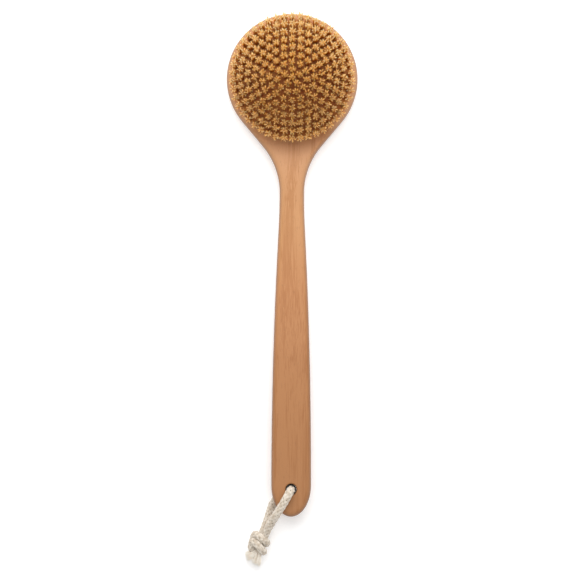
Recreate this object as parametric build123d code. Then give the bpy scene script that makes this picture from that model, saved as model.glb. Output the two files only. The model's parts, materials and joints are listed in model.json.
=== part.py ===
from build123d import *
import os
from math import atan2, cos, degrees, hypot, pi, radians, sin, tan

# A long-handled body dry brush in millimetres. It lies on its back with the bristles up (+Z)
# and the head towards +Y. The origin is the centre of the head's flat back face.

# the round head
head_radius = 50.5
head_thickness = 16.0
edge_round = 4.5            # round-over of every long edge of the wood, front and back

# neck and handle, seen from the front
shoulder_angle = 40.0       # how far below its middle the head's circle runs into the shoulders
neck_hollow_radius = 56.0
neck_half_width = 9.4
handle_length = 249.6       # from the narrowest point of the neck to the tip
flare_share = 0.12          # the handle curves outward over this share of its widening, then back
grip_half_width = 15.3
grip_straight_length = 4.0  # straight sides between the widening and the rounded end
grip_end_length = 24.0      # the rounded end, half an ellipse

# neck and handle, seen from the side
handle_thickness = 12.0
face_past_head = 7.0        # the front face stays level this far past the head's circle
neck_step_length = 52.0     # then it drops to the handle's thickness over this
back_past_step = 10.0       # the back stays flat this far past the drop
grip_level_length = 52.3    # the grip is level again this far from its tip
grip_lift = 9.0             # how far the back of the grip stands above the head's back

# the hanging hole and its rope
rope_diameter = 6.5
rope_hole_clearance = 0.85  # all round the rope
rope_hole_from_tip = 21.3
hole_mouth_round = 1.5

# the bristle field: a tuft in the middle, and rings round it
tufts_per_ring = [5, 11, 16, 22, 28, 34, 40, 46]
rim_margin = 6.3            # from the outer ring's holes, at the face, to the head's edge
tuft_hole_radius = 1.8
tuft_hole_depth = 9.0
tuft_height = 20.0
lean_across = 5.0           # outward lean of the outer ring's tufts at the head's sides
lean_lengthways = 9.4       # and at its top and bottom; the rings inside lean less
tuft_collar = 1.0           # a tuft starts to spread this far above the face
tuft_gap = 0.3              # half the gap between the tips of two rings
root_clearance = 0.05
anchor_thickness = 0.4
anchor_height = 2.0

# the knot below the handle and the two frayed ends that come out of it
knot_length = 19.0
knot_radius = 8.5
knot_end_round = 6.5
knot_centre = (-24.3, -42.2, -6.2)   # from the middle of the hanging hole
knot_heading = -104.0                # which way the knot points, in the XY plane
tail_length = 17.0
tail_root_radius = 3.0
tail_tip_radius = 4.0
tail_offset = 3.4                    # each side of the knot's middle line
tail_spread = 15.0
tail_droop = 8.0

# The rope's route from the middle of the hanging hole: out of the knot, up over the front
# of the grip, down through the hole and back to the knot behind the grip.
rope_route = [
    (-20.4, -37.6, -3.6),
    (-18.2, -31.4, -0.8),
    (-14.6, -24.6, 4.6),
    (-10.2, -17.4, 9.75),
    (-5.2, -9.4, 10.25),
    (-1.9, -3.3, 10.1),
    (0.0, 0.0, 6.1),
    (0.0, 0.0, -6.1),
    (-3.1, -2.2, -9.9),
    (-8.3, -5.9, -10.1),
    (-13.6, -10.6, -10.0),
    (-16.2, -18.2, -9.8),
    (-18.4, -25.6, -9.5),
    (-20.9, -32.4, -8.9),
    (-23.4, -37.8, -9.6),
]

ring_count = len(tufts_per_ring)
ring_pitch = (head_radius - rim_margin) / ring_count
tip_pitch = ring_pitch + tuft_height * tan(radians(lean_across)) / ring_count
tuft_tip_radius = tip_pitch / 2 - tuft_gap
root_radius = tuft_hole_radius - root_clearance

shoulder_x = head_radius * cos(radians(shoulder_angle))
hollow_reach = neck_hollow_radius * (1 - cos(radians(shoulder_angle)))
shoulder_length = (shoulder_x - neck_half_width - hollow_reach) / sin(radians(shoulder_angle))
neck_y = (
    -(head_radius + neck_hollow_radius) * sin(radians(shoulder_angle))
    - shoulder_length * cos(radians(shoulder_angle))
)
tip_y = neck_y - handle_length
taper_length = handle_length - grip_end_length - grip_straight_length
step_top_y = -head_radius - face_past_head
step_foot_y = step_top_y - neck_step_length
lift_foot_y = step_foot_y - back_past_step
lift_length = lift_foot_y - (tip_y + grip_level_length)
hole_middle = Vector(0, tip_y + rope_hole_from_tip, grip_lift + handle_thickness / 2)


def s_bend(start, heading, length, shift, first_share=0.5):
    """Two tangent arcs that end `length` further on and `shift` to the left."""
    both_radii = (length**2 + shift**2) / (2 * abs(shift))
    turn = degrees(2 * atan2(shift, length))
    first = JernArc(start, heading, first_share * both_radii, turn)
    return JernArc(first @ 1, first % 1, (1 - first_share) * both_radii, -turn)


def front_outline():
    """The brush seen from the front: head, shoulders, hollow neck and widening handle."""
    with BuildSketch() as outline:
        with BuildLine():
            crown = JernArc((0, head_radius), (1, 0), head_radius, -90 - shoulder_angle)
            shoulder = PolarLine(crown @ 1, shoulder_length, direction=crown % 1)
            hollow = JernArc(shoulder @ 1, shoulder % 1, neck_hollow_radius, shoulder_angle)
            widening = grip_half_width - neck_half_width
            taper = s_bend(hollow @ 1, (0, -1), taper_length, widening, flare_share)
            grip = Line(taper @ 1, (grip_half_width, tip_y + grip_end_length))
            EllipticalCenterArc((0, (grip @ 1).Y), grip_half_width, grip_end_length, 270, arc_size=90)
            mirror(about=Plane.YZ)
        make_face()
    return outline.sketch


def side_outline():
    """The brush seen from the side, head to the right: the grip is thin and lifted off the back."""
    top_y = head_radius + edge_round
    end_y = tip_y - edge_round
    grip_front = grip_lift + handle_thickness
    step_rise = head_thickness - handle_thickness
    with BuildSketch(Plane.YZ) as outline:
        with BuildLine():
            back = Line((top_y, 0), (lift_foot_y, 0))
            back_lift = s_bend(back @ 1, (-1, 0), lift_length, -grip_lift)
            grip_back = Line(back_lift @ 1, (end_y, grip_lift))
            end = Line(grip_back @ 1, (end_y, grip_front))
            grip_face = Line(end @ 1, ((back_lift @ 1).X, grip_front))
            front_lift = s_bend(grip_face @ 1, (1, 0), lift_length, -grip_lift)
            neck = Line(front_lift @ 1, (step_foot_y, handle_thickness))
            step = s_bend(neck @ 1, (1, 0), neck_step_length, step_rise)
            face = Line(step @ 1, (top_y, head_thickness))
            Line(face @ 1, back @ 0)
        make_face()
    return outline.sketch


def wooden_body():
    """Head and handle in one board, with its blind tuft holes and the hanging hole."""
    front = extrude(front_outline(), amount=head_thickness + handle_thickness + grip_lift)
    side = extrude(side_outline(), amount=head_radius + edge_round, both=True)
    board = front & side
    long_edges = board.edges().filter_by(Axis.Z, reverse=True).filter_by(Axis.X, reverse=True)
    board = fillet(long_edges, edge_round)
    rope_hole_radius = rope_diameter / 2 + rope_hole_clearance
    board -= Pos(hole_middle) * Cylinder(rope_hole_radius, 2 * handle_thickness)
    mouths = board.edges().filter_by(GeomType.CIRCLE)
    mouths = mouths.filter_by(lambda edge: abs(edge.radius - rope_hole_radius) < 0.001)
    board = fillet(mouths, hole_mouth_round)
    drill = Cylinder(tuft_hole_radius, tuft_hole_depth + 1, align=(Align.CENTER, Align.CENTER, Align.MIN))
    drill = Pos(0, 0, -tuft_hole_depth) * drill
    holes = [place * drill for ring in range(ring_count + 1) for place in tuft_places(ring)]
    return board - holes


def tuft_places(ring):
    """Where the tufts of a ring leave the face; ring 0 is the tuft in the middle."""
    if ring == 0:
        return [Pos(0, 0, head_thickness)]
    count = tufts_per_ring[ring - 1]
    across = tan(radians(lean_across)) * ring / ring_count
    lengthways = tan(radians(lean_lengthways)) * ring / ring_count
    places = []
    for i in range(count):
        turn = pi / 2 + 2 * pi * i / count
        x, y = cos(turn), sin(turn)
        on_face = (ring * ring_pitch * x, ring * ring_pitch * y, head_thickness)
        places.append(Plane(on_face, x_dir=(x, y, 0), z_dir=(across * x, lengthways * y, 1)).location)
    return places


def anchor():
    """The flat wire that is driven to the bottom of a hole and holds its tuft."""
    width = 2 * (root_radius**2 - (anchor_thickness / 2) ** 2) ** 0.5
    upright = (Align.CENTER, Align.CENTER, Align.MIN)
    plate = Box(anchor_thickness, width, anchor_height, align=upright)
    return Pos(0, 0, -tuft_hole_depth) * plate


def tuft():
    """A bundle of bristles folded over its anchor, which spreads towards its cut tips."""
    with BuildSketch(Plane.XZ) as half:
        with BuildLine():
            Polyline(
                (0, -tuft_hole_depth),
                (root_radius, -tuft_hole_depth),
                (root_radius, tuft_collar),
                (tuft_tip_radius, tuft_height),
                (0, tuft_height),
                close=True,
            )
        make_face()
    return revolve(half.sketch, Axis.Z) - anchor()


def in_ring(piece, ring):
    """A copy of the piece at each tuft of the ring."""
    return Compound(children=[place * piece for place in tuft_places(ring)])


def rope_points():
    return [hole_middle + Vector(*point) for point in rope_route]


def rope_radii():
    """The largest arc that the runs on each side of a point leave room for."""
    points = rope_points()
    radii = []
    for before, here, after in zip(points, points[1:], points[2:]):
        half_turn = radians((here - before).get_angle(after - here)) / 2
        shorter_run = min((here - before).length, (after - here).length)
        radii.append(0.45 * shorter_run / tan(half_turn))
    return radii


def rope_path():
    return FilletPolyline(*rope_points(), radius=rope_radii())


def rope_tube():
    path = rope_path()
    start = Plane(origin=path @ 0, z_dir=path % 0)
    return sweep(start * Circle(rope_diameter / 2), path=path)


def knot():
    """The outer shape of the overhand knot that closes the loop."""
    barrel = Rot(0, 90, 0) * Cylinder(knot_radius, knot_length)
    return knot_place() * fillet(barrel.edges(), knot_end_round)


def knot_place():
    return Pos(hole_middle + Vector(*knot_centre)) * Rot(0, 0, knot_heading)


def tail(side):
    """One frayed end of the rope; side is 1 or -1."""
    upright = (Align.CENTER, Align.CENTER, Align.MIN)
    brush = Cone(tail_root_radius, tail_tip_radius, tail_length, align=upright)
    start = knot_place() * Pos(0, side * tail_offset, 0)
    return start * Rot(0, 0, side * tail_spread) * Rot(0, 90 + tail_droop, 0) * brush


def write(node, shape):
    shape.label = node
    export_step(shape, f"parts/{node}.step")


os.makedirs("parts", exist_ok=True)

write("wooden_body", wooden_body())
for ring in range(ring_count + 1):
    tufts = "centre_tuft" if ring == 0 else f"tuft_ring_{ring}"
    anchors = "centre_anchor" if ring == 0 else f"anchor_ring_{ring}"
    write(tufts, in_ring(tuft(), ring))
    write(anchors, in_ring(anchor(), ring))

knot_body = knot()
rope = rope_tube()
write("hanging_rope", rope - knot_body)
write("rope_knot", knot_body)
write("rope_tails", Compound(children=[tail(side) - knot_body for side in (1, -1)]))

section = pi * rope_diameter**2 / 4
print("rope radii", [round(radius, 1) for radius in rope_radii()])
print("rope length", round(rope_path().length, 1))
print("rope volume", round(rope.volume, 1), "section times length", round(section * rope_path().length, 1))
print("hanging hole", hole_middle)
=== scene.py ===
import json
import math

import bpy
import numpy as np
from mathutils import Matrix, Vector


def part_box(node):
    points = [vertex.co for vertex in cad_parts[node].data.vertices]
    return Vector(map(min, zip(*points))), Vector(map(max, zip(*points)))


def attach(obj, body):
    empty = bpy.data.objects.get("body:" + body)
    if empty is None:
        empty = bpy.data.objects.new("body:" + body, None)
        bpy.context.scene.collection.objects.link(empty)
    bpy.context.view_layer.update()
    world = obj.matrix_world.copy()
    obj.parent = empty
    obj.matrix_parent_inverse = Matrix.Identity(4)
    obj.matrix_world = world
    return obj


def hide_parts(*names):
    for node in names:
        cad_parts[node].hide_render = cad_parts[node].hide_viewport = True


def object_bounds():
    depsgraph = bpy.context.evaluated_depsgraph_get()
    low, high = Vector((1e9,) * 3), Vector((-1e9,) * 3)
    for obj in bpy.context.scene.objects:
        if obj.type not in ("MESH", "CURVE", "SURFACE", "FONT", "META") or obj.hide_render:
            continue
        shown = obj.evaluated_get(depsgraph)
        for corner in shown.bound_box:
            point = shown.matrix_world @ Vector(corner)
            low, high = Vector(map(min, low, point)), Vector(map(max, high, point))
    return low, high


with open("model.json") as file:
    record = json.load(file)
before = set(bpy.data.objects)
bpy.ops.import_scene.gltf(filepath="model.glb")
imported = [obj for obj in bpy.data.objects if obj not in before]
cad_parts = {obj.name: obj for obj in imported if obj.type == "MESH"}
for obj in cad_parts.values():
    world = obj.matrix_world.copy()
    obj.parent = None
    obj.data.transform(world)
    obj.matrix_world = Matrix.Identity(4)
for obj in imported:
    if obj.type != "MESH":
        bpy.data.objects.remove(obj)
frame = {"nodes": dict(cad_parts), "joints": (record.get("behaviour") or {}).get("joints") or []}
cadLow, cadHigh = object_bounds()
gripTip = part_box("wooden_body")[0].y
holeMiddle = Vector(frame["joints"][0]["pos_m"])  # of the hanging hole
print("brush loaded")


# the camera looks straight down; brush and rope fill the picture from top to bottom
cameraSetup = {
    "distance": 2.0,
    "pictureWidth": 0.4433,  # at the height of the wood's front
    "woodFront": 0.018,
    "shift": Vector((-0.0028, 0.0018, 0)),
    "turn": math.radians(0.15),
    "sensorWidth": 36.0,
}


def makeCamera(setup):
    camera = bpy.data.objects.new("overheadCamera", bpy.data.cameras.new("overheadCamera"))
    bpy.context.scene.collection.objects.link(camera)
    middle = (cadLow + cadHigh) / 2 + setup["shift"]
    camera.location = (middle.x, middle.y, setup["woodFront"] + setup["distance"])
    camera.rotation_euler.z = setup["turn"]
    camera.data.sensor_width = setup["sensorWidth"]
    camera.data.lens = setup["sensorWidth"] * setup["distance"] / setup["pictureWidth"]
    bpy.context.scene.camera = camera


makeCamera(cameraSetup)


# the rope's route, from the middle of the hanging hole: out of the knot, over the front of
# the grip, down through the hole and back to the knot behind the grip
ropeSetup = {
    "diameter": 0.0065,
    "route": [
        (-0.0204, -0.0376, -0.0036),
        (-0.0182, -0.0314, -0.0008),
        (-0.0146, -0.0246, 0.0046),
        (-0.0102, -0.0174, 0.00975),
        (-0.0052, -0.0094, 0.01025),
        (-0.0019, -0.0033, 0.0101),
        (0.0, 0.0, 0.0061),
        (0.0, 0.0, -0.0061),
        (-0.0031, -0.0022, -0.0099),
        (-0.0083, -0.0059, -0.0101),
        (-0.0136, -0.0106, -0.0100),
        (-0.0162, -0.0182, -0.0098),
        (-0.0184, -0.0256, -0.0095),
        (-0.0209, -0.0324, -0.0089),
        (-0.0234, -0.0378, -0.0096),
    ],
    "knotMouth": (-0.0219, -0.0345, -0.0062),
    "carriers": 6,  # yarns that wind each way
    "yarnPitch": 0.0042,  # along the rope, from one yarn to the next
    "sway": ((0.10, 0.0037), (0.07, 0.0019)),  # how far yarns stray, and over what length
    "leftSway": 0.6,  # the left-hand yarns stray less
    "yarnEdge": 2.12,  # at 2 neighbouring yarns meet; more leaves a gap
    "under": 0.35,  # height of a yarn that passes under another, against 1 over it
    "valley": 0.77,  # radius between the yarns, as a share of the rope's
    "crest": 1.02,  # radius over the yarns
    "squeeze": 0.86,  # where the knot grips the rope
    "squeezeLength": 0.011,
    "holeShadeTo": 0.0052,  # up and down from the middle of the hole: painted shade inside it
    "holeReach": 0.0042,  # from the hole's middle line
    "bunching": 0.18,  # how much wider the rope is where it bunches up in the hole
    "bunchedTo": 0.0025,  # up and down from the middle of the hole
    "looseFrom": 0.0045,
    "around": 96,
    "step": 0.0003,
}


def smoothLine(points):
    curve = bpy.data.curves.new("ropeRoute", "CURVE")
    curve.dimensions = "3D"
    spline = curve.splines.new("NURBS")
    spline.points.add(len(points) - 1)
    for controlPoint, place in zip(spline.points, points):
        controlPoint.co = (*place, 1.0)
    spline.order_u = 3
    spline.use_endpoint_u = True
    spline.resolution_u = 24
    carrier = bpy.data.objects.new("ropeRoute", curve)
    lineMesh = bpy.data.meshes.new_from_object(carrier)
    line = np.array([vertex.co for vertex in lineMesh.vertices])
    bpy.data.objects.remove(carrier)
    bpy.data.curves.remove(curve)
    bpy.data.meshes.remove(lineMesh)
    return line


def evenly(line, step):
    gaps = np.linalg.norm(np.diff(line, axis=0), axis=1)
    along = np.concatenate([[0], np.cumsum(gaps)])
    wanted = np.linspace(0, along[-1], int(round(along[-1] / step)) + 1)
    even = np.stack([np.interp(wanted, along, line[:, axis]) for axis in range(3)], axis=1)
    return even, wanted


def ropeFrames(line):
    # each ring's two directions are carried along the rope with no twist
    tangents = np.gradient(line, axis=0)
    tangents /= np.linalg.norm(tangents, axis=1)[:, None]
    sides = np.zeros_like(line)
    side = np.cross(tangents[0], (0.3, 0.2, 1.0))  # any direction across the first stretch
    for index, tangent in enumerate(tangents):
        side = side - tangent * side.dot(tangent)
        side /= np.linalg.norm(side)
        sides[index] = side
    return tangents, sides, np.cross(tangents, sides)


def braidHeight(turn, along, setup):
    # yarns wind both ways and pass over and under each other in turn, none of them quite even
    (wide, wideLength), (narrow, narrowLength) = setup["sway"]
    sway = wide * np.sin(2 * math.pi * turn + along / wideLength)
    sway = sway + narrow * np.sin(along / narrowLength)
    rightHand = turn * setup["carriers"] + along / setup["yarnPitch"] + sway
    leftHand = turn * setup["carriers"] - along / setup["yarnPitch"]
    leftHand = leftHand + setup["leftSway"] * sway
    rightNear, leftNear = np.round(rightHand), np.round(leftHand)
    rightBump = np.sqrt(np.maximum(0, 1 - (setup["yarnEdge"] * (rightHand - rightNear)) ** 2))
    leftBump = np.sqrt(np.maximum(0, 1 - (setup["yarnEdge"] * (leftHand - leftNear)) ** 2))
    rightOver = 0.5 + 0.5 * np.cos(math.pi * leftHand) * np.where(rightNear % 2 == 0, 1, -1)
    leftOver = 0.5 - 0.5 * np.cos(math.pi * rightHand) * np.where(leftNear % 2 == 0, 1, -1)
    under, lift = setup["under"], 1 - setup["under"]
    return np.maximum(rightBump * (under + lift * rightOver), leftBump * (under + lift * leftOver))


def braidedTube(line, radius, setup):
    line, along = evenly(line, setup["step"])
    fromEnd = np.minimum(along, along[-1] - along)
    freed = np.clip(fromEnd / setup["squeezeLength"], 0, 1)
    gripped = setup["squeeze"] + (1 - setup["squeeze"]) * freed
    tangents, sides, ups = ropeFrames(line)
    around = setup["around"]
    turn = np.arange(around) / around
    height = braidHeight(turn[None, :], along[:, None], setup)
    relief = setup["crest"] - setup["valley"]
    reach = radius * gripped[:, None] * (setup["valley"] + relief * height)
    angle = (turn * 2 * math.pi)[None, :, None]
    ring = sides[:, None] * np.cos(angle) + ups[:, None] * np.sin(angle)
    points = (line[:, None] + ring * reach[..., None]).reshape(-1, 3)
    rows, columns = np.meshgrid(np.arange(len(line) - 1), np.arange(around), indexing="ij")
    beside = (columns + 1) % around
    quads = np.stack([rows * around + columns, rows * around + beside,
                      (rows + 1) * around + beside, (rows + 1) * around + columns], axis=-1)
    last = (len(line) - 1) * around
    faces = [*map(tuple, quads.reshape(-1, 4).tolist())]
    faces += [tuple(range(around - 1, -1, -1)), tuple(range(last, last + around))]
    return points, faces, height.reshape(-1)


def makePiece(name, points, faces, tones, material, body, slotName):
    mesh = bpy.data.meshes.new(name)
    mesh.from_pydata(points.tolist(), [], faces)
    tone = mesh.attributes.new("tone", "FLOAT", "POINT")
    tone.data.foreach_set("value", np.asarray(tones, np.float32))
    mesh.shade_smooth()
    mesh.materials.append(material)
    piece = bpy.data.objects.new(name, mesh)
    bpy.context.scene.collection.objects.link(piece)
    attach(piece, body)
    return piece


def joinTubes(tubes):
    points, faces, tones = [], [], []
    start = 0
    for tubePoints, tubeFaces, tubeTones in tubes:
        points.append(tubePoints)
        tones.append(tubeTones)
        faces += [tuple(start + index for index in face) for face in tubeFaces]
        start += len(tubePoints)
    return np.concatenate(points), faces, np.concatenate(tones)


def addNode(tree, kind, inputs=None, **settings):
    node = tree.nodes.new("ShaderNode" + kind)
    for key, value in settings.items():
        setattr(node, key, value)
    for key, value in (inputs or {}).items():
        if isinstance(value, bpy.types.NodeSocket):
            tree.links.new(value, node.inputs[key])
        else:
            node.inputs[key].default_value = value
    return node


def startMaterial(name):
    material = bpy.data.materials.new(name)
    material.use_nodes = True
    tree = material.node_tree
    return material, tree, tree.nodes["Principled BSDF"]


def stretchedNoise(tree, place, scale, detail=4.0, roughness=0.55, distortion=0.0):
    stretched = addNode(tree, "Mapping", {"Vector": place, "Scale": scale})
    settings = {"Vector": stretched.outputs[0], "Scale": 1.0, "Detail": detail,
                "Roughness": roughness, "Distortion": distortion}
    return addNode(tree, "TexNoise", settings).outputs["Fac"]


def ramp(tree, factor, stops):
    node = addNode(tree, "ValToRGB", {"Fac": factor})
    elements = node.color_ramp.elements
    while len(elements) < len(stops):
        elements.new(0.5)
    for element, (position, colour) in zip(elements, stops):
        element.position = position
        element.color = (*colour, 1)
    return node.outputs["Color"]


def mixColour(tree, factor, first, second, blend="MIX"):
    node = tree.nodes.new("ShaderNodeMix")
    node.data_type = "RGBA"
    node.blend_type = blend
    for index, value in ((0, factor), (6, first), (7, second)):
        if isinstance(value, bpy.types.NodeSocket):
            tree.links.new(value, node.inputs[index])
        else:
            node.inputs[index].default_value = value
    return node.outputs[2]


def multiplied(tree, first, second):
    return addNode(tree, "Math", {0: first, 1: second}, operation="MULTIPLY").outputs[0]


def fade(tree, value, start, end):
    # 0 up to start, 1 from end on
    settings = {"Value": value, "From Min": start, "From Max": end}
    return addNode(tree, "MapRange", settings).outputs[0]


def tinted(tree, where, colour, tint):
    deeper = mixColour(tree, 1.0, colour, (*tint, 1), "MULTIPLY")
    return mixColour(tree, where, colour, deeper)


def addBump(tree, shader, height, strength, distance):
    bump = addNode(tree, "Bump", {"Height": height, "Strength": strength, "Distance": distance})
    tree.links.new(bump.outputs[0], shader.inputs["Normal"])


# undyed cotton: cream yarns with painted grey-green shade between them and fine fibres along them;
# painted shade on the rope where it runs inside the hanging hole
cottonFinish = {
    "yarn": (0.55, 0.455, 0.35),
    "yarnLight": (0.78, 0.71, 0.615),
    "gap": (0.13, 0.115, 0.07),
    "gapFrom": 0.20,  # yarn height below which the gap's shade shows
    "gapTo": 0.60,
    "gapShadeVariation": [(0.35, (0.15, 0.15, 0.15)), (0.62, (1, 1, 1))],  # how strongly the painted shade shows in the gaps, from place to place
    "gapShadeVariationScale": (260, 260, 260),
    "patches": (0.35, 0.65),  # noise at which yarns turn from darker to light
    "patchScale": (420, 420, 420),
    "ropeHoleShade": (0.030, 0.022, 0.014),  # painted shade on the rope inside the hanging hole
    "ropeHoleShadeFade": (0.02, 0.10),  # yarn heights; the rope in the hole is marked with 0
    "fibreScale": (5200, 5200, 5200),
    "fibreLook": [(0.3, (0.35, 0.3, 0.24)), (0.7, (1, 1, 1))],
    "fibreShade": 0.25,
    "fibreRelief": (0.35, 0.0002),  # strength and depth
    "roughness": 0.9,
    "sheen": 0.35,
    "paintedGlow": (1.0, 0.80, 0.56),  # painted glow standing in for light that comes through the fibres
    "paintedGlowStrength": 0.0,
}

# the same cotton teased out into loose fibres, painted paler and given a painted glow for the
# light that comes through them
looseFinish = {
    **cottonFinish,
    "yarn": (0.93, 0.87, 0.78),
    "yarnLight": (1.0, 0.97, 0.91),
    "fibreShade": 0.05,
    "paintedGlowStrength": 0.085,
}


def makeCotton(name, finish):
    material, tree, shader = startMaterial(name)
    place = addNode(tree, "TexCoord").outputs["Object"]
    tone = addNode(tree, "Attribute", attribute_name="tone").outputs["Fac"]
    fibres = stretchedNoise(tree, place, finish["fibreScale"], 3.0, 0.6)
    patches = stretchedNoise(tree, place, finish["patchScale"], 2.0)
    # noise that varies how strongly the painted shade shows in the gaps
    gapShadeVariation = stretchedNoise(tree, place, finish["gapShadeVariationScale"], 3.0, 0.6)
    darkFrom, lightFrom = finish["patches"]
    yarn = ramp(tree, patches, [(darkFrom, finish["yarn"]), (lightFrom, finish["yarnLight"])])
    inGap = ramp(tree, tone, [(finish["gapFrom"], (1, 1, 1)), (finish["gapTo"], (0, 0, 0))])
    patchy = mixColour(tree, 1.0, inGap, ramp(tree, gapShadeVariation, finish["gapShadeVariation"]), "MULTIPLY")
    fullShadeTo, unshadedFrom = finish["ropeHoleShadeFade"]
    # painted shade on the rope inside the hanging hole, where its tone is 0
    ropeHoleShade = ramp(tree, tone, [(fullShadeTo, (1, 1, 1)), (unshadedFrom, (0, 0, 0))])
    shaded = mixColour(tree, patchy, yarn, (*finish["gap"], 1))
    fibreLook = ramp(tree, fibres, finish["fibreLook"])
    speckled = mixColour(tree, finish["fibreShade"], shaded, fibreLook, "MULTIPLY")
    ropeHoleShaded = mixColour(tree, ropeHoleShade, speckled, (*finish["ropeHoleShade"], 1))
    tree.links.new(ropeHoleShaded, shader.inputs["Base Color"])
    shader.inputs["Roughness"].default_value = finish["roughness"]
    shader.inputs["Sheen Weight"].default_value = finish["sheen"]
    # painted glow: the cotton emits a little light of its own
    shader.inputs["Emission Color"].default_value = (*finish["paintedGlow"], 1)
    shader.inputs["Emission Strength"].default_value = finish["paintedGlowStrength"]
    addBump(tree, shader, fibres, *finish["fibreRelief"])
    return material


cotton = makeCotton("undyedCotton", cottonFinish)
looseCotton = makeCotton("looseCotton", looseFinish)


def makeRope(setup):
    line = smoothLine([holeMiddle + Vector(point) for point in setup["route"]])
    points, faces, tones = braidedTube(line, setup["diameter"] / 2, setup)
    fromMiddle = points - np.array(holeMiddle)
    level = np.abs(fromMiddle[:, 2])
    nearHole = np.hypot(*fromMiddle[:, :2].T) < setup["holeReach"]
    # painted shade: the rope inside the hanging hole gets tone 0, which turns it dark
    tones = np.where(nearHole & (level < setup["holeShadeTo"]), 0.0, tones)
    fadeLength = setup["looseFrom"] - setup["bunchedTo"]
    bunched = np.clip((setup["looseFrom"] - level) / fadeLength, 0, 1)
    points[:, :2] += fromMiddle[:, :2] * (setup["bunching"] * bunched * nearHole)[:, None]
    rope = makePiece("hangingRope", points, faces, tones, cotton, "hanging_loop", "cotton_rope")
    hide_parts("hanging_rope")
    return rope, line


rope, ropeLine = makeRope(ropeSetup)
print("rope laid through the hanging hole")


# An overhand knot in the doubled rope. Points are (down the knot, across it, up), in metres
# from the knot's middle; the front strand makes the upper band, the back one the lower.
knotSetup = {
    "middle": (-0.0243, -0.0422, -0.0062),  # from the middle of the hanging hole
    "heading": math.radians(-104),
    "radius": 0.0031,
    "frontStrand": [
        (-0.0054, 0.0027, 0.0026),
        (-0.0020, 0.0024, 0.0000),
        (0.0025, 0.0005, -0.0025),
        (0.0050, -0.0036, -0.0034),
        (0.0020, -0.0052, -0.0028),
        (-0.0030, -0.0054, -0.0012),
        (-0.0060, -0.0048, 0.0016),
        (-0.0052, -0.0018, 0.0047),
        (-0.0036, 0.0022, 0.0050),
        (-0.0018, 0.0052, 0.0026),
        (-0.0008, 0.0054, -0.0020),
        (0.0015, 0.0010, -0.0050),
        (0.0040, -0.0024, -0.0030),
        (0.0084, -0.0036, -0.0006),
    ],
    "backStrand": [
        (-0.0045, -0.0002, -0.0034),
        (0.0000, 0.0006, -0.0034),
        (0.0044, -0.0008, -0.0036),
        (0.0066, -0.0036, -0.0020),
        (0.0056, -0.0050, 0.0004),
        (0.0016, -0.0056, 0.0012),
        (-0.0006, -0.0046, 0.0036),
        (0.0012, -0.0016, 0.0052),
        (0.0034, 0.0018, 0.0052),
        (0.0056, 0.0046, 0.0024),
        (0.0062, 0.0046, -0.0022),
        (0.0050, 0.0016, -0.0046),
        (0.0086, 0.0014, -0.0006),
    ],
}


def knotPlace(setup, point):
    down = Vector((math.cos(setup["heading"]), math.sin(setup["heading"]), 0))
    across = Vector((-down.y, down.x, 0))
    middle = holeMiddle + Vector(setup["middle"])
    return middle + down * point[0] + across * point[1] + Vector((0, 0, point[2]))


def makeKnot(setup):
    tubes = []
    for strand in ("frontStrand", "backStrand"):
        line = smoothLine([knotPlace(setup, point) for point in setup[strand]])
        tubes.append(braidedTube(line, setup["radius"], ropeSetup))
    knot = makePiece("overhandKnot", *joinTubes(tubes), cotton, "hanging_loop", "cotton_rope")
    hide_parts("rope_knot")
    return knot


knot = makeKnot(knotSetup)
print("knot tied")


# hairs, bristles and loose fibres are all thin tapered tubes of three sides
def makeHairs(lines, radii, tones):
    # lines is hairs x points x 3, radii hairs x points, tones hairs x points
    hairs, count, _ = lines.shape
    sides = 3
    tangents = np.gradient(lines, axis=1)
    tangents /= np.linalg.norm(tangents, axis=2, keepdims=True) + 1e-12
    first = np.cross(tangents, np.array([0.35, 0.9, 0.25]))  # hairs never point this way
    first /= np.linalg.norm(first, axis=2, keepdims=True)
    second = np.cross(tangents, first)
    angle = np.arange(sides) * 2 * math.pi / sides
    ring = first[:, :, None] * np.cos(angle)[:, None]
    ring = ring + second[:, :, None] * np.sin(angle)[:, None]
    points = lines[:, :, None] + ring * radii[:, :, None, None]
    base = np.arange(hairs)[:, None, None] * count * sides
    rows, columns = np.meshgrid(np.arange(count - 1), np.arange(sides), indexing="ij")
    beside = (columns + 1) % sides
    quad = np.stack([rows * sides + columns, rows * sides + beside,
                     (rows + 1) * sides + beside, (rows + 1) * sides + columns], axis=-1)
    quads = (base[..., None] + quad[None]).reshape(-1, 4)
    tip = (count - 1) * sides + np.arange(sides)
    caps = np.concatenate([base[:, 0] + np.arange(sides)[::-1][None], base[:, 0] + tip[None]])
    faces = [*map(tuple, quads.tolist()), *map(tuple, caps.tolist())]
    return points.reshape(-1, 3), faces, np.repeat(tones.reshape(-1), sides)


# the frayed ends below the knot: loose cotton fibres that fan out from each strand
frayedSetup = {
    "yarns": 8,
    "fibres": 64,  # in each yarn
    "ends": [  # root, way it points, both as (down the knot, across it, up)
        {"root": (0.0062, -0.0006, 0.0004), "way": (0.74, -0.66, -0.12), "length": 0.0098},
        {"root": (0.0062, 0.0014, 0.0004), "way": (1.00, 0.00, -0.12), "length": 0.0112},
    ],
    "rootRadius": 0.0017,
    "unevenTurn": 0.3,  # how far the yarns stray from even places around the middle one
    "middleYarn": 0.1,  # how far from the middle the first yarn stands
    "flatness": 0.8,  # each end is a little lower than it is wide
    "spread": 0.10,
    "yarnLengths": (0.86, 1.04),
    "fibreLengths": (0.84, 1.04),
    "yarnRadius": 0.00042,
    "looseness": 0.00045,
    "drift": 0.07,
    "fibreRadius": 0.00010,
    "taper": 0.45,
    "floorGap": 0.0006,
    "yarnTones": (0.48, 0.85),
    "fibreTones": 0.06,
    "darkest": 0.35,
    "tipPaleness": 0.15,
    "points": 7,
    "seed": 5,
}


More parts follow.
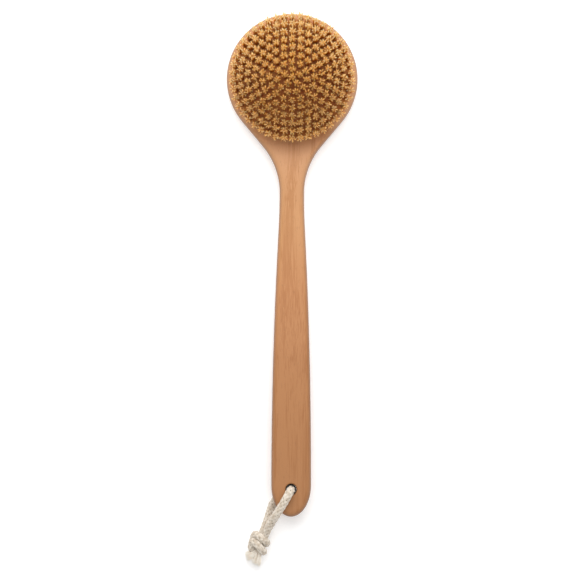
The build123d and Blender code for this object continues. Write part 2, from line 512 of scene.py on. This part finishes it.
def makeFrayedEnds(setup):
    chance = np.random.default_rng(setup["seed"])
    yarns, count = setup["yarns"], setup["yarns"] * setup["fibres"]
    share = np.linspace(0, 1, setup["points"])
    middle = np.array(knotPlace(knotSetup, (0, 0, 0)))
    turn = np.array([knotPlace(knotSetup, axis) for axis in np.eye(3).tolist()]) - middle
    lines = []
    for end in setup["ends"]:
        way = np.array(end["way"]) / np.linalg.norm(end["way"])
        side = np.cross(way, (0, 0, 1.0))
        side /= np.linalg.norm(side)
        up = np.cross(side, way)
        stray = chance.uniform(-setup["unevenTurn"], setup["unevenTurn"], yarns)
        yarnAngle = 2 * math.pi * np.arange(yarns) / (yarns - 1) + stray
        yarnOut = np.where(np.arange(yarns) == 0, setup["middleYarn"], 1.0)
        yarn = np.repeat(np.arange(yarns), setup["fibres"])
        across = side * (np.cos(yarnAngle) * yarnOut)[yarn, None]
        across = across + up * (np.sin(yarnAngle) * yarnOut)[yarn, None] * setup["flatness"]
        angle = chance.uniform(0, 2 * math.pi, count)
        out = np.sqrt(chance.uniform(0, 1, count))
        within = side * (np.cos(angle) * out)[:, None] + up * (np.sin(angle) * out)[:, None]
        root = np.array(end["root"]) + across * setup["rootRadius"]
        length = end["length"] * chance.uniform(*setup["yarnLengths"], yarns)[yarn]
        length = length * chance.uniform(*setup["fibreLengths"], count)
        travel = share[None, :, None] * length[:, None, None]
        heading = way + across * setup["spread"]
        girth = setup["yarnRadius"] + setup["looseness"] * share[None, :, None] ** 2
        line = root[:, None] + heading[:, None] * travel + within[:, None] * girth
        drift = chance.normal(0, setup["drift"], (count, 3))
        line += drift[:, None] * travel * share[None, :, None]
        lines.append(line)
    lines = np.concatenate(lines) @ turn + middle
    lines[..., 2] = np.maximum(lines[..., 2], setup["floorGap"])
    radii = setup["fibreRadius"] * (1 - setup["taper"] * share)[None].repeat(len(lines), 0)
    yarnTones = chance.uniform(*setup["yarnTones"], len(setup["ends"]) * yarns)
    fibreTones = yarnTones.repeat(setup["fibres"])
    fibreTones = fibreTones + chance.normal(0, setup["fibreTones"], len(lines))
    tones = np.clip(fibreTones, setup["darkest"], 1)[:, None] + setup["tipPaleness"] * share[None]
    hairs = makeHairs(lines, radii, tones)
    frayed = makePiece("frayedEnds", *hairs, looseCotton, "hanging_loop", "cotton_rope")
    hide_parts("rope_tails")
    return frayed


frayed = makeFrayedEnds(frayedSetup)
print("rope ends frayed")


# natural bristle: golden along the hairs, pale at the cut tips, deep amber down in the tufts,
# which is partly painted shade; painted light leaves it darker towards the neck, and a painted
# glow lifts it
bristleFinish = {
    # partly painted shade down between the hairs
    "deep": (0.66, 0.23, 0.025),
    "shaft": (0.93, 0.42, 0.06),
    "upper": (1.0, 0.65, 0.16),
    "tip": (1.0, 0.95, 0.68),
    "shaftFrom": 0.45,
    "upperFrom": 0.80,
    "streaks": [(0.32, (0.66, 0.45, 0.26)), (0.60, (1, 1, 1))],
    "streakScale": (1900, 1900, 240),
    "streakStrength": 0.5,
    "streakRelief": (0.15, 0.0001),  # strength and depth
    "headReach": 0.05,
    "lightOverHead": [  # painted light: darker towards the neck, lighter towards the top of the head, where the light comes from
        (0.0, (0.93, 0.79, 0.58)),
        (0.5, (0.99, 0.95, 0.86)),
        (1.0, (1.0, 1.0, 1.0)),
    ],
    "paintedGlow": (1.0, 0.40, 0.05),  # painted glow standing in for light that works its way down between the hairs
    "paintedGlowStrength": 0.022,
    "roughness": 0.6,
    "specular": 0.2,
}


def makeBristle(finish):
    material, tree, shader = startMaterial("naturalBristle")
    tone = addNode(tree, "Attribute", attribute_name="tone").outputs["Fac"]
    place = addNode(tree, "TexCoord").outputs["Object"]
    colour = ramp(tree, tone, [(0.0, finish["deep"]), (finish["shaftFrom"], finish["shaft"]),
                               (finish["upperFrom"], finish["upper"]), (1.0, finish["tip"])])
    streaks = stretchedNoise(tree, place, finish["streakScale"], 2.0)
    streakLook = ramp(tree, streaks, finish["streaks"])
    varied = mixColour(tree, finish["streakStrength"], colour, streakLook, "MULTIPLY")
    lengthways = addNode(tree, "SeparateXYZ", {0: place}).outputs["Y"]
    # painted light across the head, darker towards the neck
    overHead = fade(tree, lengthways, -finish["headReach"], finish["headReach"])
    paintedFalloff = mixColour(tree, 1.0, varied, ramp(tree, overHead, finish["lightOverHead"]), "MULTIPLY")
    tree.links.new(paintedFalloff, shader.inputs["Base Color"])
    shader.inputs["Roughness"].default_value = finish["roughness"]
    shader.inputs["Specular IOR Level"].default_value = finish["specular"]
    # painted glow: the bristles emit a little light of their own
    shader.inputs["Emission Color"].default_value = (*finish["paintedGlow"], 1)
    shader.inputs["Emission Strength"].default_value = finish["paintedGlowStrength"]
    addBump(tree, shader, streaks, *finish["streakRelief"])
    return material


bristle = makeBristle(bristleFinish)


# the bristle field: the same rings as the drilled head
tuftSetup = {
    "tuftsPerRing": [5, 11, 16, 22, 28, 34, 40, 46],
    "outerRingRadius": 0.0442,
    "leanAcross": math.radians(5),
    "leanLengthways": math.radians(9.4),
    "face": 0.016,
    "rootDepth": 0.0066,
    "height": 0.0196,
    "rootRadius": 0.00158,
    "tipReach": 0.0026,
    "outerReach": 1.04,  # the outer ring's tips reach this much further
    "arms": 7,
    "armWidth": 0.00024,
    "armTurn": 0.3,  # how unevenly the arms stand around the tuft
    "armReaches": (0.72, 1.15),
    "armRoot": 0.12,  # where along its arm the first hair stands
    "armFill": 1.2,  # more brings the hairs closer to the tuft's middle
    "hairReaches": (0.88, 1.06),
    "rootPull": 0.15,
    "gather": 1.2,  # 1 parts the arms evenly from the face up, more keeps them together
    "strays": 0.06,  # share of the hairs that stand out of the bundle
    "strayReach": 1.35,
    "strayShortness": 0.10,
    "unevenTop": 0.016,  # how much the hairs differ in length
    "domed": 0.03,  # outer hairs are this much shorter
    "bristles": 130,
    "bristleRadius": 0.00014,
    "bristleRadii": (0.8, 1.15),
    "tipSwelling": 0.15,  # a cut hair looks a little thicker at its pale end
    "paling": 1.4,  # more keeps the pale colour nearer the tips
    "hairTones": (0.82, 1.06),
    "innerTipLight": 0.88,  # painted light: paleness of the tips in the middle, against 1 in the outer ring, which is lit more
    "points": 6,
    "seed": 11,
}


def tuftAxes(setup, ring):
    if ring == 0:
        return [(Vector((0, 0, setup["face"])), Vector((0, 0, 1)))]
    rings = len(setup["tuftsPerRing"])
    count = setup["tuftsPerRing"][ring - 1]
    reach = setup["outerRingRadius"] * ring / rings
    across = math.tan(setup["leanAcross"]) * ring / rings
    lengthways = math.tan(setup["leanLengthways"]) * ring / rings
    axes = []
    for index in range(count):
        angle = math.pi / 2 + 2 * math.pi * index / count
        out = Vector((math.cos(angle), math.sin(angle), 0))
        axes.append((out * reach + Vector((0, 0, setup["face"])),
                     Vector((out.x * across, out.y * lengthways, 1)).normalized()))
    return axes


def growTuft(place, axis, setup, chance, outward):
    # the hairs leave the hole as one bundle and part into a few arms, so the tips make a star
    side = Vector((0, 1, 0)).cross(axis).normalized()
    side, axis, up = np.array(side), np.array(axis), np.array(axis.cross(side))
    count, arms = setup["bristles"], setup["arms"]
    angle = chance.uniform(0, 2 * math.pi, count)
    out = np.sqrt(chance.uniform(0, 1, count))
    rootPlane = np.stack([np.cos(angle), np.sin(angle)], 1) * (out * setup["rootRadius"])[:, None]
    uneven = chance.uniform(-setup["armTurn"], setup["armTurn"], arms)
    armAngle = (np.arange(arms) + uneven) * 2 * math.pi / arms
    armAngle = armAngle + chance.uniform(0, 2 * math.pi)
    tipReach = setup["tipReach"] * (1 + (setup["outerReach"] - 1) * outward**2)
    armReach = tipReach * chance.uniform(*setup["armReaches"], arms)
    arm = np.cos(angle[:, None] - armAngle[None]).argmax(1)
    filled = setup["armRoot"] + (1 - setup["armRoot"]) * out ** setup["armFill"]
    alongArm = armReach[arm] * filled * chance.uniform(*setup["hairReaches"], count)
    tipPlane = np.stack([np.cos(armAngle[arm]), np.sin(armAngle[arm])], 1) * alongArm[:, None]
    tipPlane = tipPlane + chance.normal(0, setup["armWidth"], (count, 2))
    tipPlane = tipPlane + setup["rootPull"] * rootPlane
    stray = chance.uniform(0, 1, count) < setup["strays"]
    strayPlane = rootPlane / setup["rootRadius"] * tipReach * setup["strayReach"]
    tipPlane = np.where(stray[:, None], strayPlane, tipPlane)
    share = np.linspace(0, 1, setup["points"])
    lengthways = -setup["rootDepth"] + share * (setup["rootDepth"] + setup["height"])
    above = np.clip(lengthways / setup["height"], 0, 1)
    growth = 1 + chance.normal(0, setup["unevenTop"], count) - setup["domed"] * out
    growth = growth - setup["strayShortness"] * stray * chance.uniform(0, 1, count)
    parted = (above ** setup["gather"])[None, :, None]
    plane = rootPlane[:, None] + (tipPlane - rootPlane)[:, None] * parted
    reach = np.maximum(lengthways, 0)[None] * growth[:, None] + np.minimum(lengthways, 0)[None]
    lines = np.array(place) + side * plane[..., :1] + up * plane[..., 1:]
    lines = lines + axis * reach[..., None]
    swollen = setup["bristleRadius"] * (1 + setup["tipSwelling"] * above**2)
    radii = swollen[None] * chance.uniform(*setup["bristleRadii"], count)[:, None]
    # painted light: the outer tufts lit more, the middle ones darker
    ringLight = setup["innerTipLight"] + (1 - setup["innerTipLight"]) * outward**2
    hairTones = chance.uniform(*setup["hairTones"], count)[:, None]
    tones = above[None] ** setup["paling"] * hairTones * ringLight
    return lines, radii, tones


def makeTufts(setup):
    chance = np.random.default_rng(setup["seed"])
    for ring in range(len(setup["tuftsPerRing"]) + 1):
        outward = ring / len(setup["tuftsPerRing"])
        axes = tuftAxes(setup, ring)
        grown = [growTuft(place, axis, setup, chance, outward) for place, axis in axes]
        hairs = makeHairs(*[np.concatenate(parts) for parts in zip(*grown)])
        node = "centre_tuft" if ring == 0 else f"tuft_ring_{ring}"
        name = "centreTuft" if ring == 0 else f"tuftRing{ring}"
        tufts = makePiece(name, *hairs, bristle, "brush", "bristle")
        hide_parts(node)


makeTufts(tuftSetup)
print("bristles grown")


# oiled beech: fine grain along the handle and short dark flecks. Painted light and shade: darker
# where the edges turn away, a falloff that darkens it towards the grip, golden shade between the
# tufts, a shadow under them on the neck, and dark inside the hanging hole
beechFinish = {
    "pale": (0.52, 0.265, 0.125),
    "warm": (0.44, 0.205, 0.085),
    "grainFrom": 0.82,
    "grainTo": 1.22,
    "fineGrain": (1100, 26, 1100),
    "broadGrain": (95, 3.2, 95),
    "grainRelief": (0.12, 0.0003),  # strength and depth
    "fleck": (0.22, 0.100, 0.045),
    "flecks": [(0.62, (0, 0, 0)), (0.74, (0.45, 0.45, 0.45))],
    "fleckScale": (2300, 230, 2300),
    # painted shade where the rounded edges turn away from the lights
    "edge": (0.20, 0.110, 0.065),
    "edges": [(0.30, (0.7, 0.7, 0.7)), (0.90, (0, 0, 0))],  # from upright to level wood
    "falloffAlongBoard": [  # painted falloff of the light, from the grip's tip to the neck
        (0.0, (0.72, 0.64, 0.53)),
        (0.45, (0.73, 0.62, 0.47)),
        (0.67, (0.86, 0.76, 0.63)),
        (0.85, (0.94, 0.91, 0.81)),
        (1.0, (1.0, 1.0, 1.0)),
    ],
    "neckEnd": -0.07,
    # painted shade on the face between the tufts, golden from light through the bristles
    "bristleShadeTint": (1.02, 0.72, 0.21),
    "bristleRing": (0.0438, 0.0478),  # from the middle of the head, where the painted golden shade fades out
    "faceOnly": (0.015, 0.0155),  # heights
    "neckShade": (0.84, 0.76, 0.62),
    "neckRing": (0.047, 0.060),  # from the middle of the head, where the shade fades out
    "neckFrom": (-0.034, -0.040),
    "neckFront": (0.012, 0.014),  # heights
    # painted shade inside the hanging hole and on a thin rim around it
    "woodHoleShade": (0.05, 0.028, 0.014),
    "holeRing": (0.0043, 0.0046),  # from the middle of the hanging hole
    "holeStrength": 0.85,
    "roughness": 0.5,
    "specular": 0.35,
}


def fadeOut(tree, value, ring, strength=1.0):
    faded = fade(tree, value, *ring)
    return ramp(tree, faded, [(0, (strength,) * 3), (1, (0, 0, 0))])


def makeBeech(finish):
    material, tree, shader = startMaterial("oiledBeech")
    coordinates = addNode(tree, "TexCoord")
    place = coordinates.outputs["Object"]
    placeParts = addNode(tree, "SeparateXYZ", {0: place})
    lengthways, height = placeParts.outputs["Y"], placeParts.outputs["Z"]

    fine = stretchedNoise(tree, place, finish["fineGrain"], 5.0, 0.6, 0.4)
    broad = stretchedNoise(tree, place, finish["broadGrain"], 3.0, 0.5, 0.6)
    grain = addNode(tree, "Math", {0: fine, 1: broad}, operation="ADD").outputs[0]
    board = ramp(tree, grain, [(finish["grainFrom"], finish["warm"]),
                               (finish["grainTo"], finish["pale"])])
    # painted falloff of the light: darker towards the grip
    toNeck = fade(tree, lengthways, gripTip, finish["neckEnd"])
    paintedFalloff = mixColour(tree, 1.0, board, ramp(tree, toNeck, finish["falloffAlongBoard"]), "MULTIPLY")

    flecks = stretchedNoise(tree, place, finish["fleckScale"], 2.0, 0.5)
    fleckLook = ramp(tree, flecks, finish["flecks"])
    flecked = mixColour(tree, fleckLook, paintedFalloff, (*finish["fleck"], 1))
    # painted shade on the edges, by how far the surface turns from level
    facing = addNode(tree, "SeparateXYZ", {0: coordinates.outputs["Normal"]}).outputs["Z"]
    level = addNode(tree, "Math", {0: facing}, operation="ABSOLUTE").outputs[0]
    edges = ramp(tree, level, finish["edges"])
    edgeShaded = mixColour(tree, edges, flecked, (*finish["edge"], 1))

    flat = addNode(tree, "VectorMath", {0: place, 1: (1, 1, 0)}, operation="MULTIPLY").outputs[0]
    fromHead = addNode(tree, "VectorMath", {0: flat}, operation="LENGTH").outputs["Value"]
    # painted golden shade on the face between the tufts
    inBristles = fadeOut(tree, fromHead, finish["bristleRing"])
    onFace = fade(tree, height, *finish["faceOnly"])
    sheltered = multiplied(tree, inBristles, onFace)
    bristleShaded = tinted(tree, sheltered, edgeShaded, finish["bristleShadeTint"])

    nearTufts = fadeOut(tree, fromHead, finish["neckRing"])
    onNeck = fade(tree, lengthways, *finish["neckFrom"])
    neckFront = multiplied(tree, onNeck, fade(tree, height, *finish["neckFront"]))
    necked = tinted(tree, multiplied(tree, nearTufts, neckFront), bristleShaded, finish["neckShade"])

    # painted shade inside the hanging hole and on a thin rim around it
    hole = (holeMiddle.x, holeMiddle.y, 0)
    fromHole = addNode(tree, "VectorMath", {0: flat, 1: hole}, operation="DISTANCE")
    inHole = fadeOut(tree, fromHole.outputs["Value"], finish["holeRing"], finish["holeStrength"])
    woodHoleShaded = mixColour(tree, inHole, necked, (*finish["woodHoleShade"], 1))

    tree.links.new(woodHoleShaded, shader.inputs["Base Color"])
    shader.inputs["Roughness"].default_value = finish["roughness"]
    shader.inputs["Specular IOR Level"].default_value = finish["specular"]
    addBump(tree, shader, grain, *finish["grainRelief"])
    return material


def dress(node, material):
    mesh = frame["nodes"][node].data
    mesh.materials.clear()
    mesh.materials.append(material)


dress("wooden_body", makeBeech(beechFinish))


# the flat steel wire at the bottom of each hole
wireFinish = {
    "drawn": [(0.3, (0.42, 0.42, 0.41)), (0.7, (0.62, 0.62, 0.60))],
    "drawnScale": (900, 900, 9000),
    "drawnRelief": (0.1, 0.00005),  # strength and depth
    "roughness": 0.3,
}


def makeWire(finish):
    material, tree, shader = startMaterial("anchorWire")
    place = addNode(tree, "TexCoord").outputs["Object"]
    drawn = stretchedNoise(tree, place, finish["drawnScale"], 2.0)
    tree.links.new(ramp(tree, drawn, finish["drawn"]), shader.inputs["Base Color"])
    shader.inputs["Metallic"].default_value = 1.0
    shader.inputs["Roughness"].default_value = finish["roughness"]
    addBump(tree, shader, drawn, *finish["drawnRelief"])
    return material


wire = makeWire(wireFinish)
for node in frame["nodes"]:
    if node.endswith("anchor") or node.startswith("anchor"):
        dress(node, wire)
print("wood and wire finished")


# a white table top and large soft lights; the light falls off from the head to the grip
studioSetup = {
    "floorSize": 6.0,
    "floorColour": (0.97, 0.97, 0.97),
    "floorRoughness": 0.8,
    "floorGlow": 0.15,  # lit a little from below, which thins the shadows
    "world": 0.66,
    "aim": (0.0, 0.0, 0.0),
    "keyPlace": (-0.14, 0.38, 0.64),
    "keySize": 1.0,
    "keyPower": 6.5,
    "fillPlace": (0.42, 0.18, 0.80),
    "fillSize": 0.9,
    "fillPower": 2.8,
}


def makeFloor(setup):
    half = setup["floorSize"] / 2
    mesh = bpy.data.meshes.new("tableTop")
    corners = [(-half, -half, 0), (half, -half, 0), (half, half, 0), (-half, half, 0)]
    mesh.from_pydata(corners, [], [(0, 1, 2, 3)])
    material, tree, shader = startMaterial("tableTopWhite")
    shader.inputs["Base Color"].default_value = (*setup["floorColour"], 1)
    shader.inputs["Roughness"].default_value = setup["floorRoughness"]
    shader.inputs["Emission Color"].default_value = (1, 1, 1, 1)
    shader.inputs["Emission Strength"].default_value = setup["floorGlow"]
    mesh.materials.append(material)
    floor = bpy.data.objects.new("tableTop", mesh)
    bpy.context.scene.collection.objects.link(floor)


def makeLight(name, place, aim, size, power):
    light = bpy.data.lights.new(name, "AREA")
    light.shape = "DISK"
    light.size = size
    light.energy = power
    lamp = bpy.data.objects.new(name, light)
    lamp.location = place
    lamp.rotation_euler = (Vector(aim) - Vector(place)).to_track_quat("-Z", "Y").to_euler()
    bpy.context.scene.collection.objects.link(lamp)


def makeStudio(setup):
    makeFloor(setup)
    for name in ("key", "fill"):
        makeLight(name + "Light", setup[name + "Place"], setup["aim"], setup[name + "Size"],
                  setup[name + "Power"])
    world = bpy.data.worlds.new("studio")
    world.use_nodes = True
    background = world.node_tree.nodes["Background"]
    background.inputs["Color"].default_value = (1, 1, 1, 1)
    background.inputs["Strength"].default_value = setup["world"]
    bpy.context.scene.world = world
    bpy.context.scene.view_settings.view_transform = "Standard"


makeStudio(studioSetup)
print("studio lit")
